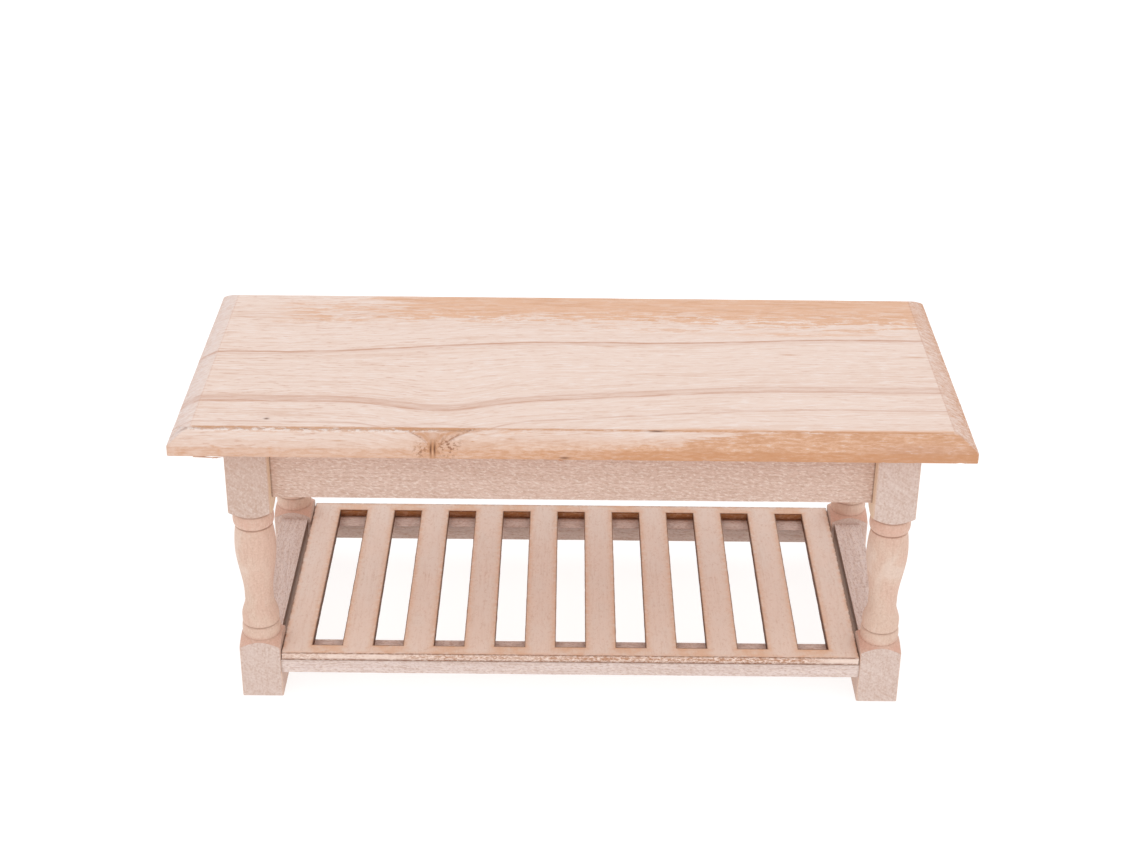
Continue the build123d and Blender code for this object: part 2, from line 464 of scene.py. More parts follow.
@dataclass(frozen=True)
class BoardWood:
    """The top board: pale softwood with growth lines, a stained strip and a knot."""

    name: str
    pale: Colour = rgb(0.850, 0.678, 0.594)
    streak: Colour = rgb(0.690, 0.440, 0.325)
    line: Colour = rgb(0.590, 0.325, 0.225)
    stain: Colour = rgb(0.765, 0.460, 0.305)
    rust: Colour = rgb(0.590, 0.290, 0.150)
    scar: Colour = rgb(0.160, 0.065, 0.035)
    shadow: Colour = rgb(0.300, 0.130, 0.070)
    bark: Colour = rgb(0.330, 0.135, 0.065)
    chalk: Colour = rgb(0.900, 0.780, 0.730)
    left_end: Colour = rgb(0.800, 0.690, 0.660)
    right_end: Colour = rgb(0.740, 0.540, 0.455)

    def flow(self, x: Value) -> Tuple[Value, Value, Value]:
        """Heights across the board of the three growth lines, which dip round the knot.

        Args:
            x: the place along the board in millimetres.

        Returns:
            The rear, middle and front line.
        """
        rear = x.rise(-62, -2) * 5.6 + x.rise(15, 60) * 2.4 + 2.3
        middle = x.rise(-25, 45) * 5.9 - 18.2 - (x + 26).bell(11) * 3.4
        front = x.rise(-28, 50) * 6.8 - 28.0 - (x + 25.5).bell(9) * 8.5
        return rear, middle, front

    def make(self) -> bpy.types.Material:
        """Builds the material."""
        shader = Shader.named(self.name)
        x, y, z = shader.position()
        rear, middle, front = self.flow(x)
        share = y.rise(-18, 8)
        wander = (shader.cloud(shader.vector(x / 18, y / 9, 0.3), 2.0) - 0.5) * 1.6
        lift = (rear - 7.0) * share + (middle + 15.5) * (1 - share)
        across = y - lift + z * 0.8 + wander
        waver = (shader.cloud(shader.vector(x / 7, 1.5, 0.0), 2.0) - 0.5) * 0.6
        fibre = shader.cloud(shader.vector(x / 15, across / 0.50, z / 0.5), 3.0, 0.60)
        dash = shader.cloud(shader.vector(x / 3.2, across / 0.42, 7.7), 2.0, 0.60)
        colour = self._plain(shader, x, across, fibre, dash)
        colour = self._growth_lines(shader, colour, x, y, across, waver, (rear, middle, front))
        colour = self._stained_strip(shader, colour, x, y)
        colour = self._front_edge(shader, colour, (x, y, z))
        colour = self._knot(shader, colour, (x, y, z), waver)
        colour, torn = self._scars(shader, colour, (x, y, z))
        mitre = (abs(x) - abs(y) - 42.1).rise(-0.10, 0.12)
        ends = abs(x).rise(72.0, 72.4) * mitre
        colour, pit = self._ends(shader, colour, (x, y, z), ends)
        lined = self._growth_lines(shader, colour, x, y, across, waver, (rear, middle, front))
        colour = shader.mix(ends * x.rise(-60, -70) * 0.65, colour, lined)
        height = fibre * 0.7 + dash * 0.6 + pit * ends * 0.9 + torn * 0.9
        return shader.finish(colour, 0.76, height, 0.00008)

    def _plain(self, shader: Shader, x: Value, across: Value, fibre: Value, dash: Value) -> Value:
        """The board's own colour, with soft bands and fine fibres.

        Args:
            shader: the shader to add to.
            x: the place along the board.
            across: the place across the growth lines.
            fibre: long fine fibres.
            dash: short fine fibres.

        Returns:
            The colour.
        """
        left = x.rise(10, -60)
        band = shader.cloud(shader.vector(x / 70, across / 3.0, 2.5), 3.0, 0.6)
        thread = shader.cloud(shader.vector(x / 45, across / 0.7, 6.5), 3.0, 0.6)
        colour = shader.mix(band.rise(0.44, 0.68) * (left * 0.12 + 0.12), self.pale, self.streak)
        colour = shader.mix(thread.rise(0.54, 0.68) * (left * 0.16 + 0.18), colour, self.streak)
        colour = shader.mix(fibre.rise(0.52, 0.66) * (left * 0.12 + 0.36), colour, self.streak)
        colour = shader.mix(dash.rise(0.60, 0.70) * (left * 0.24 + 0.34), colour, self.line)
        return shader.mix(dash.rise(0.46, 0.34) * 0.60, colour, self.chalk)

    def _growth_lines(
        self,
        shader: Shader,
        colour: Value,
        x: Value,
        y: Value,
        across: Value,
        waver: Value,
        lines: Tuple[Value, Value, Value],
    ) -> Value:
        """Draws the three strong growth lines.

        Args:
            shader: the shader to add to.
            colour: the board so far.
            x: the place along the board.
            y: the place across the board.
            across: the place across the growth lines.
            waver: a small wander of each line.
            lines: the lines' places across the board.

        Returns:
            The colour with the lines.
        """
        rear, middle, front = lines
        thin = (y - rear + waver).bell(0.30) * 0.85 + (y - rear + 0.9 - waver).bell(0.6) * 0.22
        lower = (y - middle + 1.2 + waver).bell(0.32) * 0.46
        upper = (y - middle - 0.7 + waver).bell(0.40) * 0.26
        between = (y - middle + 0.3).bell(1.3) * (x.rise(30, -50) * 0.14 + 0.22)
        near = (y - front + waver).bell(0.28) * y.rise(-30.5, -29.8) * 0.46
        soft = shader.cloud(shader.vector(x / 6, across / 0.35, 3.1), 3.0, 0.65)
        drawn = (thin + lower + upper + between + near) * (soft.rise(0.28, 0.62) * 1.1 + 0.3)
        return shader.mix(drawn, colour, self.line)

    def _stained_strip(self, shader: Shader, colour: Value, x: Value, y: Value) -> Value:
        """Stains the strip along the rear edge, ragged and scratched along the grain.

        Args:
            shader: the shader to add to.
            colour: the board so far.
            x: the place along the board.
            y: the place across the board.

        Returns:
            The stained colour.
        """
        shreds = shader.cloud(shader.vector(x / 8, y / 1.1, 4.4), 4.0, 0.7)
        ragged = shader.cloud(shader.vector(x / 16, y / 2.6, 8.8), 4.0, 0.65)
        level = y + (ragged - 0.5) * 9 + (shreds - 0.5) * 15
        right = x.rise(5, 55) * 2.4
        start = (x + (shreds - 0.5) * 75 + (ragged - 0.5) * 40).rise(-47, -31)
        solid = (level + right - 18.4).rise(0.0, 1.1) * start
        broken = shreds.rise(0.49, 0.55)
        faint = (y - 17.0).rise(-2.5, 1.5) * x.rise(-67, -54) * (y - 26.5).rise(1.8, -1.5) * broken
        fray = (y - 15.0).bell(2.4) * x.rise(-20, 20) * shreds.rise(0.49, 0.55)
        scratch = shader.cloud(shader.vector(x / 4.5, y / 0.80, 1.4), 5.0, 0.75)
        lower = (y + (ragged - 0.5) * 8).rise(25, 17)
        bare = scratch.rise(0.51, 0.56) * (0.16 + lower * 0.76)
        strip = (solid * 0.92).math("MAXIMUM", faint * 0.74).math("MAXIMUM", fray * 0.70) * (1 - bare)
        slim = (y - 12.6).bell(0.9) * (x - 47).bell(15) * scratch.rise(0.42, 0.54) * 0.85
        colour = shader.mix(strip.math("MAXIMUM", slim), colour, self.stain)
        colour = shader.mix(bare * solid * 0.60, colour, self.chalk)
        deep = shader.cloud(shader.vector(x / 10, y / 1.2, 2.2), 4.0, 0.7).rise(0.48, 0.62)
        return shader.mix(strip * deep * 0.34, colour, self.rust)

    @staticmethod
    def _depth(y: Value, z: Value) -> Value:
        """How far down the front moulding and its square edge from the upper arris."""
        return (-30.1 - y) * 1.17 + (59.8 - z).math("MAXIMUM", 0.0)

    def _front_edge(self, shader: Shader, colour: Value, point: Tuple[Value, Value, Value]) -> Value:
        """Stains the right-hand part of the front moulding and the square edge under it, and paints a patch of shadow
        low on the moulding near the right end.

        Args:
            shader: the shader to add to.
            colour: the board so far.
            point: the place on the board.

        Returns:
            The stained colour.
        """
        x, y, z = point
        depth = self._depth(y, z)
        front = y.rise(-29.9, -30.3)
        ragged = shader.cloud(shader.vector(x / 7, y / 0.8, 5.8), 4.0, 0.7)
        bound = x.rise(-6, 44) * 4.7 - 34.6
        corner = (bound - y + (ragged - 0.5) * 6.5).rise(-0.5, 0.9) * front
        lower = depth.rise(0.6, 5.0) * (x.rise(-46, -6) * 0.46 + 0.20) * front
        corner = corner.math("MAXIMUM", lower)
        colour = shader.mix(corner * 0.95, colour, self.stain)
        spill = (y + 29.9 + (ragged - 0.5) * 2.6).bell(0.5) * x.rise(10, 26) * x.rise(72.2, 71.8)
        colour = shader.mix(spill * 0.85, colour, self.stain)
        streaks = shader.cloud(shader.vector(x / 2.4, depth / 0.50, y.rise(0, 1)), 5.0, 0.75)
        patches = shader.cloud(shader.vector(x / 7, depth / 2.4, 3.3), 3.0, 0.65)
        colour = shader.mix(corner * x.rise(-10, 40) * 0.16, colour, self.rust)
        colour = shader.mix(corner * streaks.rise(0.48, 0.56) * 0.56, colour, self.rust)
        colour = shader.mix(corner * patches.rise(0.48, 0.62) * 0.44, colour, self.rust)
        colour = shader.mix(corner * streaks.rise(0.45, 0.36) * 0.42, colour, self.chalk)
        # Painted shadow: a greyish-brown patch low on the moulding near the right end.
        shadow_patch = (x - 66).bell(11) * depth.rise(1.8, 4.0) * front * 0.42
        colour = shader.mix(shadow_patch, colour, self.line)
        square = z.rise(59.95, 59.65)
        warm = x.rise(-40, 35)
        colour = shader.mix(square * (1 - front) * 0.45, colour, self.streak)
        colour = shader.mix(square * streaks.rise(0.44, 0.58) * (warm * 0.40 + 0.26), colour, self.rust)
        colour = shader.mix(square * (0.27 + warm * 0.28), colour, self.rust)
        return shader.mix(z.rise(58.3, 57.9) * (0.20 + 0.30 * warm), colour, self.rust)

    def _knot(
        self, shader: Shader, colour: Value, point: Tuple[Value, Value, Value], waver: Value
    ) -> Value:
        """Draws the small knot in the front moulding, with fibres running down into it.

        Args:
            shader: the shader to add to.
            colour: the board so far.
            point: the place on the board.
            waver: a small wander of its outline.

        Returns:
            The colour with the knot.
        """
        x, y, z = point
        depth = self._depth(y, z)
        front = y.rise(-29.7, -30.2)
        off = x + 26.3 + waver * 0.8
        right = off.rise(-0.4, 0.4)
        narrow = (1 - depth / 4.8).math("MAXIMUM", 0.0)
        spread = narrow.math("POWER", 1.8 - right * 0.6) * (right * 1.2 + 6.3) + 0.55
        side = abs(off) / spread
        ray = shader.cloud(shader.vector(off / spread * 3.0, depth / 3.0, 0.2), 4.0, 0.68)
        fleck = shader.cloud(shader.vector(x / 0.55, depth / 0.50, 0.7), 3.0, 0.62)
        inside = side.rise(1.08, 0.86) * front
        reddish = depth.rise(3.0, 0.2) * 0.24 + 0.30
        colour = shader.mix(inside * (ray.rise(0.40, 0.58) * 0.42 + reddish), colour, self.rust)
        flame = off.bell(0.9) * (depth - 2.0).bell(1.2) * ray.rise(0.40, 0.55)
        colour = shader.mix(flame * 0.50, colour, self.pale)
        halo = off.bell(3.4) * (depth - 4.4).bell(2.0) * front * (fleck.rise(0.42, 0.56) * 0.40 + 0.36)
        colour = shader.mix(halo, colour, self.rust)
        vee = (side - 1.0 + (fleck - 0.5) * 0.35).bell(0.10) * front * (fleck.rise(0.35, 0.55) * 0.6 + 0.25)
        colour = shader.mix(vee * depth.rise(6.4, 5.0) * 0.80, colour, self.bark)
        crown = (abs(off) / 9.0 + abs(y + 29.6) / 1.3 - 1.0).bell(0.22) * y.rise(-30.2, -29.8)
        colour = shader.mix(crown * 0.22, colour, self.line)
        specks = (off - 2.9).bell(2.1) * (depth - 4.3).bell(1.9) * fleck.rise(0.53, 0.58) * 0.95
        specks = specks + (off + 2.3).bell(1.3) * (depth - 5.0).bell(1.3) * fleck.rise(0.53, 0.58) * 0.85
        colour = shader.mix(specks * front, colour, self.shadow)
        eye = off.bell(0.80) * (depth - 4.6).bell(1.7) * front
        colour = shader.mix(eye * 0.95, colour, self.rust)
        rims = (abs(off) - 0.36).bell(0.19) * (depth - 4.7).bell(1.3) * front
        colour = shader.mix(rims * 0.95, colour, self.scar)
        return shader.mix(off.bell(0.17) * (depth - 5.5).bell(0.6) * front * 0.7, colour, self.stain)

    def _scars(
        self, shader: Shader, colour: Value, point: Tuple[Value, Value, Value]
    ) -> Tuple[Value, Value]:
        """Draws the torn fibres along the front arris, a painted shadow beside them, and the small dark marks.

        Args:
            shader: the shader to add to.
            colour: the board so far.
            point: the place on the board.

        Returns:
            The colour with the marks, and the torn fibres' relief.
        """
        x, y, z = point
        tears = shader.cloud(shader.vector(x / 2.2, y / 0.7, 5.5), 5.0, 0.75)
        arris = (y + 30.5 + (tears - 0.5) * 2.2).bell(0.26)
        torn = arris * x.rise(-14, -22) * tears.rise(0.40, 0.52)
        colour = shader.mix(torn * 0.55, colour, self.rust)
        edge = (y + 30.16 + (tears - 0.5) * 0.8).bell(0.30) * abs(x).rise(72.2, 71.6)
        colour = shader.mix(edge * (tears.rise(0.38, 0.54) * 0.45 + 0.45), colour, self.rust)
        # Painted shadow: an orange band just below the torn left arris, where the loose fibres cast shade.
        glow = (y + 30.7 + (tears - 0.5) * 1.8).bell(0.55) * x.rise(-76, -60) * x.rise(8, -16)
        colour = shader.mix(glow * tears.rise(0.44, 0.58) * 0.55, colour, self.stain)
        pale = (y + 30.9 + (tears - 0.5) * 2.0).bell(0.28) * x.rise(-20, -30) * tears.rise(0.53, 0.47)
        colour = shader.mix(pale * 0.80, colour, self.chalk)
        dark = [
            (15.8, -30.35, 1.5, 0.20),
            (-58.2, -26.9, 0.50, 0.34),
        ]
        faint = [
            (69.6, 2.5, 2.0, 0.22),
            (7.4, 6.0, 1.6, 0.18),
            (43.8, 3.0, 1.8, 0.28),
            (-44.0, -32.8, 1.4, 0.12),
            (-11.7, -32.2, 0.8, 0.12),
            (-17.0, -31.4, 0.8, 0.09),
            (-4.9, -31.0, 1.5, 0.08),
            (2.7, -30.9, 0.9, 0.10),
            (-18.8, -32.7, 0.35, 0.12),
        ]
        for place in dark:
            colour = shader.mix(self._dash(x, y, place) * 0.9, colour, self.scar)
        for place in faint:
            colour = shader.mix(self._dash(x, y, place) * 0.75, colour, self.rust)
        chip = (x + 1.5).bell(0.9) * (z - 58.25).bell(0.22) * y.rise(-33.5, -34.0)
        return shader.mix(chip * 0.85, colour, self.scar), torn

    @staticmethod
    def _dash(x: Value, y: Value, place: Tuple[float, float, float, float]) -> Value:
        """A small mark along the board.

        Args:
            x: the place along the board.
            y: the place across the board.
            place: the mark's middle in X and Y, half length and half width, in millimetres.

        Returns:
            The mark's strength.
        """
        middle_x, middle_y, length, width = place
        return (x - middle_x).bell(length) * (y - middle_y).bell(width)

    def _ends(
        self, shader: Shader, colour: Value, point: Tuple[Value, Value, Value], ends: Value
    ) -> Tuple[Value, Value]:
        """Covers the two end mouldings with end grain.

        Args:
            shader: the shader to add to.
            colour: the board so far.
            point: the place on the board.
            ends: 1 on the end mouldings and 0 elsewhere.

        Returns:
            The colour with end grain, and the end grain's relief.
        """
        x, y, z = point
        pit = shader.cloud(shader.vector(x / 0.60, y / 0.62, z / 0.50), 4.0, 0.72)
        layers = shader.cloud(shader.vector(x / 2.0, y / 0.7, z / 1.2), 3.0, 0.6)
        right = x.rise(-10, 10)
        cut = shader.mix(right, self.left_end, self.right_end)
        cut = shader.mix(layers.rise(0.44, 0.62) * 0.30, cut, self.streak)
        cut = shader.mix(pit.rise(0.50, 0.60) * (right * 0.35 + 0.18), cut, self.line)
        soft = abs(x).rise(72.0, 74.6) * 0.30 + 0.46
        colour = shader.mix(ends * (soft + right * 0.12), colour, cut)
        strokes = shader.cloud(shader.vector(x / 1.6, y / 0.62, z / 1.4), 4.0, 0.72)
        colour = shader.mix(ends * strokes.rise(0.51, 0.60) * (right * 0.42 + 0.14), colour, self.rust)
        colour = shader.mix(ends * strokes.rise(0.46, 0.38) * 0.40, colour, self.chalk)
        dots = shader.cloud(shader.vector(x / 0.5, y / 0.6, 1.0), 2.0, 0.6).rise(0.42, 0.56)
        arris = (abs(x) - 72.12).bell(0.13) * abs(y).rise(30.4, 30.0)
        colour = shader.mix(arris * (dots * 0.30 + 0.05 + right * 0.22), colour, self.line)
        # Darker towards the outer rim of the end mouldings.
        rim_darkening = abs(x).rise(74.2, 76.0) * pit.rise(0.42, 0.56) * (right * 0.50 + 0.20)
        return shader.mix(rim_darkening, colour, self.rust), pit


@dataclass(frozen=True)
class PlyFace:
    """A plywood face with scorching beside each cut slot."""

    name: str
    pitch: float
    slot_half: float
    slot_end: float
    outer: Tuple[float, float]
    pale: Colour = rgb(0.950, 0.796, 0.708)
    blond: Colour = rgb(0.940, 0.820, 0.745)
    fleck: Colour = rgb(0.660, 0.430, 0.310)
    scorch: Colour = rgb(0.830, 0.490, 0.290)
    burn: Colour = rgb(0.200, 0.080, 0.035)

    def make(self) -> bpy.types.Material:
        """Builds the material."""
        shader = Shader.named(self.name)
        x, y, z = shader.position()
        fibre = shader.cloud(shader.vector(x / 0.50, y / 7, z), 4.0, 0.68)
        grain = shader.cloud(shader.vector(x / 0.50, y / 1.8, z), 4.0, 0.70)
        patch = shader.cloud(shader.vector(x / 8, y / 14, 1.1), 2.0)
        speck = shader.cloud(shader.vector(x / 0.50, y / 0.95, z), 4.0, 0.72)
        colour = shader.mix(patch.rise(0.40, 0.64) * 0.70, self.pale, self.blond)
        colour = shader.mix(fibre.rise(0.48, 0.74) * 0.20, colour, self.fleck)
        colour = shader.mix(grain.rise(0.54, 0.70) * 0.22, colour, self.fleck)
        colour = shader.mix(speck.rise(0.54, 0.66) * 0.30, colour, self.fleck)
        colour = shader.mix(speck.rise(0.46, 0.34) * 0.35, colour, self.blond)
        toward = y.rise(10, -self.outer[1]) * 0.10
        colour = shader.mix(toward, colour, self.scorch)

        cell = abs((x / self.pitch + 0.5).math("FRACT") - 0.5) * self.pitch
        row = abs(x).rise(self.pitch * 4.5 + 0.6, self.pitch * 4.5 - 0.6)
        beside = cell - self.slot_half
        beyond = abs(y) - self.slot_end
        gap = beside.math("MAXIMUM", beyond).math("MAXIMUM", 0.0)
        rough = shader.cloud(shader.vector(x / 1.2, y / 1.2, 0.9), 3.0, 0.65)
        smoke = shader.cloud(shader.vector(x / 2.6, y / 2.0, 3.9), 3.0, 0.6).rise(0.34, 0.62)
        ends = beyond.rise(-0.6, 0.4) * cell.rise(self.slot_half + 2.2, self.slot_half - 1.2)
        colour = shader.mix(ends * row * (smoke * 0.38 + 0.16), colour, self.scorch)
        rim = (abs(x) - self.outer[0]).math("MAXIMUM", abs(y) - self.outer[1])
        colour = shader.mix(rim.rise(-1.3, -0.1) * smoke * 0.45, colour, self.scorch)
        halo = gap.bell(0.95) * row * (rough.rise(0.30, 0.60) * 0.48 + 0.16)
        colour = shader.mix(halo, colour, self.scorch)
        near = gap.bell(0.17) * row * 0.90 + rim.bell(0.18) * (rough.rise(0.35, 0.6) * 0.6 + 0.25)
        colour = shader.mix(near, colour, self.burn)
        height = fibre * 0.5 + grain * 0.6
        return shader.finish(colour, 0.74, height, 0.00005)


@dataclass(frozen=True)
class PlyEdge:
    """The cut edge of the plywood, three layers between scorched rims; on the slot walls the lower rim is wider, partly
    painted shadow.
    """

    name: str
    bottom: float
    top: float
    pale: Colour = rgb(0.880, 0.700, 0.610)
    core: Colour = rgb(0.450, 0.205, 0.105)
    burn: Colour = rgb(0.240, 0.095, 0.045)
    toast: Colour = rgb(0.475, 0.195, 0.070)
    # How scorched the edge is; it also widens the lower rim, which at the slot ends is painted shadow of the gap over
    # the rails.
    burn_and_shade: float = 0.0

    def make(self) -> bpy.types.Material:
        """Builds the material."""
        shader = Shader.named(self.name)
        x, y, z = shader.position()
        level = (z - self.bottom) / (self.top - self.bottom)
        middle = x.rise(-44, -20) * x.rise(54, 46) * 0.55
        drift = shader.cloud(shader.vector(x / 14, y / 14, 0.4), 2.0).rise(0.36, 0.58) * 0.45 + middle
        blotch = shader.cloud(shader.vector(x / 1.3, y / 1.3, z / 0.5), 4.0, 0.72)
        fleck = shader.cloud(shader.vector(x / 0.62, y / 0.62, z / 0.36), 4.0, 0.75)
        # The lower rim widens with the scorch: at the slot ends this stands partly for painted shadow in the gap over
        # the rails.
        rims = (level - 1.0).bell(0.14) + level.bell(0.20 + self.burn_and_shade * 0.22)
        core = (level - 0.55).bell(0.22)
        colour = shader.mix(core * blotch.rise(0.42, 0.54) * drift * 0.90, self.pale, self.core)
        colour = shader.mix(fleck.rise(0.49, 0.57) * (drift * 0.80 + 0.05), colour, self.core)
        colour = shader.mix(self.burn_and_shade * (blotch.rise(0.3, 0.6) * 0.3 + 0.8), colour, self.toast)
        colour = shader.mix(rims * (blotch.rise(0.38, 0.54) * 0.58 + 0.36), colour, self.burn)
        height = blotch * 0.5 + fleck * 0.5
        return shader.finish(colour, 0.80, height, 0.0001)


@dataclass(frozen=True)
class Backdrop:
    """The plain pale floor, which glows a little as a light table does."""

    name: str = "pale_floor"
    colour: Colour = rgb(0.30, 0.30, 0.30)
    glow: float = 0.80

    def make(self) -> bpy.types.Material:
        """Builds the material."""
        return Shader.named(self.name).finish(self.colour, 0.9, glow=self.glow)


# ---------------------------------------------------------------- pieces


def finish_piece(
    bm: bmesh.types.BMesh,
    name: str,
    materials: Sequence[bpy.types.Material],
    smooth_angle: float = 35.0,
) -> bpy.types.Object:
    """Turns a bmesh into a finished piece that stands for the CAD node of the same name.

    Args:
        bm: the shape, in place in the row's frame; it is freed.
        name: the CAD node's name.
        materials: the materials that the faces index.
        smooth_angle: edges flatter than this many degrees are shaded smooth.

    Returns:
        The piece.
    """
    mesh = bpy.data.meshes.new(name + "_piece")
    bmesh.ops.recalc_face_normals(bm, faces=bm.faces)
    for edge in bm.edges:
        edge.smooth = len(edge.link_faces) == 2 and edge.calc_face_angle(0) < math.radians(smooth_angle)
    for face in bm.faces:
        face.smooth = True
    bm.to_mesh(mesh)
    bm.free()
    for material in materials:
        mesh.materials.append(material)
    piece = bpy.data.objects.new(name + "_piece", mesh)
    bpy.context.scene.collection.objects.link(piece)
    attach(piece, ROOT)
    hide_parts(name)
    log.info("%s: %d faces", piece.name, len(mesh.polygons))
    return piece


def box_bmesh(low: Vector, high: Vector) -> bmesh.types.BMesh:
    """A box between two corners, as a new bmesh."""
    bm = bmesh.new()
    size = high - low
    place = Matrix.Translation((low + high) / 2) @ Matrix.Diagonal((*size, 1.0))
    bmesh.ops.create_cube(bm, size=1.0, matrix=place)
    return bm


def ease_edges(
    bm: bmesh.types.BMesh, edges: Sequence[bmesh.types.BMEdge], width: float, segments: int = 2
) -> None:
    """Rounds some edges.

    Args:
        bm: the shape.
        edges: the edges to round.
        width: how far the rounding reaches from each edge, in metres.
        segments: how many strips the rounding has.
    """
    bmesh.ops.bevel(
        bm,
        geom=list(edges),
        offset=width,
        offset_type="OFFSET",
        segments=segments,
        profile=0.5,
        affect="EDGES",
        material=-1,
        clamp_overlap=True,
    )


def slice_along(bm: bmesh.types.BMesh, axis: int, low: float, high: float, count: int) -> None:
    """Cuts a shape into even slices.

    Args:
        bm: the shape.
        axis: 0, 1 or 2 for slices along X, Y or Z.
        low: where the slices start.
        high: where they end.
        count: how many slices there are.
    """
    normal = Vector((0, 0, 0))
    normal[axis] = 1.0
    for index in range(1, count):
        place = Vector((0, 0, 0))
        place[axis] = low + (high - low) * index / count
        geometry = bm.verts[:] + bm.edges[:] + bm.faces[:]
        bmesh.ops.bisect_plane(bm, geom=geometry, plane_co=place, plane_no=normal, dist=1e-7)


def roughen(
    verts: Sequence[bmesh.types.BMVert], depth: float, pitch: Vector, seed: float, low: Vector, high: Vector
) -> None:
    """Moves vertices by a little smooth noise, staying inside a box.

    Args:
        verts: the vertices to move.
        depth: the most that a vertex moves, in metres.
        pitch: how far apart the waves are along X, Y and Z, in metres.
        seed: which pattern to use.
        low: the box's lowest corner.
        high: the box's highest corner.
    """
    for vert in verts:
        place = Vector((vert.co.x / pitch.x, vert.co.y / pitch.y, vert.co.z / pitch.z + seed))
        shift = noise.noise_vector(place) * depth
        for axis in range(3):
            vert.co[axis] = min(max(vert.co[axis] + shift[axis], low[axis]), high[axis])


@dataclass
class TopBoard:
    """The top board: a solid board with a mitred, sloping moulded edge over a square one."""

    edge_height: float = 2.0 * MM
    run: float = 4.0 * MM
    crown: float = 0.18 * MM
    steps: int = 6
    slices: int = 290
    fibres: int = 80

    def outline_share(self, share: float) -> Tuple[float, float]:
        """The moulding's crowned profile.

        Args:
            share: 0 at the outer edge and 1 at the upper arris.

        Returns:
            How far in and how far up, as shares of the run and the drop.
        """
        bulge = 4 * share * (1 - share) * self.crown
        return share - bulge * 0.5 / self.run, share + bulge * 0.86 / (2.4 * MM)

    def build(self) -> bmesh.types.BMesh:
        """Builds the board's shape from a slab whose upper face is drawn in and up."""
        low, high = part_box("table_top")
        drop = high.z - low.z - self.edge_height
        bm = box_bmesh(low, Vector((high.x, high.y, low.z + self.edge_height)))
        top = max(bm.faces, key=lambda face: face.calc_center_median().z)
        reached = (0.0, 0.0)
        for step in range(1, self.steps + 1):
            inward, upward = self.outline_share(step / self.steps)
            bmesh.ops.inset_region(
                bm,
                faces=[top],
                thickness=(inward - reached[0]) * self.run,
                depth=(upward - reached[1]) * drop,
                use_even_offset=True,
            )
            reached = (inward, upward)
        return self._soften(bm, low, high)

    def _soften(self, bm: bmesh.types.BMesh, low: Vector, high: Vector) -> bmesh.types.BMesh:
        """Eases the arrises and gives them the small waves of hand work.

        Args:
            bm: the sharp board.
            low: the board's lowest corner.
            high: the board's highest corner.

        Returns:
            The softened board.
        """
        uprights = [
            edge
            for edge in bm.edges
            if abs(edge.verts[0].co.z - edge.verts[1].co.z) > self.edge_height * 0.9
            and (edge.verts[0].co.xy - edge.verts[1].co.xy).length < 1e-6
        ]
        ease_edges(bm, uprights, 0.35 * MM, 3)
        arris_levels = (low.z, low.z + self.edge_height, high.z)
        arrises = [
            edge
            for edge in bm.edges
            if any(all(abs(vert.co.z - level) < 1e-6 for vert in edge.verts) for level in arris_levels)
            and len(edge.link_faces) == 2
            and edge.calc_face_angle(0) > math.radians(15)
        ]
        ease_edges(bm, arrises, 0.14 * MM, 2)
        slice_along(bm, 1, low.y, high.y, self.slices // 12)
        slice_along(bm, 0, low.x, high.x, self.slices)
        rim = [vert for vert in bm.verts if vert.co.z > low.z + 0.1 * MM]
        roughen(rim, 0.05 * MM, Vector((6 * MM, 2 * MM, 2 * MM)), 0.0, low, high)
        self._tear(bm, low, high)
        self._add_fibres(bm, low, high)
        return bm

    def _tear(self, bm: bmesh.types.BMesh, low: Vector, high: Vector) -> None:
        """Tears the front arris where the cutter met the grain, and chips the lower edge.

        Args:
            bm: the board.
            low: the board's lowest corner.
            high: the board's highest corner.
        """
        arris = low.y + self.run
        for vert in bm.verts:
            torn = 1.0 if vert.co.x < -34 * MM else 0.35
            near = abs(vert.co.y - arris) < 0.35 * MM and vert.co.z > high.z - 0.5 * MM
            if near and abs(vert.co.x) < high.x - self.run:
                bite = noise.noise(Vector((vert.co.x / (0.9 * MM), 0.0, 3.0)))
                vert.co.z -= max(0.0, bite) * 0.18 * MM * torn
                vert.co.y += bite * 0.20 * MM * torn
            edge = vert.co.y < low.y + 0.3 * MM and vert.co.z < low.z + 0.3 * MM
            if edge:
                chip = noise.noise(Vector((vert.co.x / (1.6 * MM), 5.0, 1.0))) - 0.25
                vert.co.z += max(0.0, chip) * 0.45 * MM

    def _add_fibres(self, bm: bmesh.types.BMesh, low: Vector, high: Vector) -> None:
        """Lays loose wood fibres along the torn arris and a splinter under the left corner.

        Args:
            bm: the board.
            low: the board's lowest corner.
            high: the board's highest corner.
        """
        chance = random.Random(12)
        arris = low.y + self.run
        for _ in range(self.fibres):
            reach = chance.uniform(0.02, 0.55) * MM
            place = Vector((chance.uniform(-74, -34) * MM, arris - reach, high.z - 0.10 * MM - reach * 0.62))
            length = chance.uniform(0.9, 3.0) * MM
            turn = Matrix.Rotation(chance.uniform(-0.22, 0.22), 4, "Z") @ Matrix.Rotation(
                math.pi / 2 + chance.uniform(-0.04, 0.04), 4, "Y"
            )
            self._fibre(bm, place, turn, length, chance.uniform(0.07, 0.13) * MM)
        splinters = [(-69.0, 0.09, 4.6, 0.34), (-66.4, -0.10, 2.6, 0.20), (-2.1, 0.25, 1.1, 0.16)]
        for x, lean, length, width in splinters:
            place = Vector((x * MM, low.y + 0.35 * MM, low.z - 0.30 * MM))
            turn = Matrix.Rotation(math.pi / 2 + lean, 4, "Y")
            self._fibre(bm, place, turn, length * MM, width * MM)
        for vert in bm.verts:
            vert.co.x = min(max(vert.co.x, low.x), high.x)
            vert.co.y = min(max(vert.co.y, low.y), high.y)
            vert.co.z = min(vert.co.z, high.z)

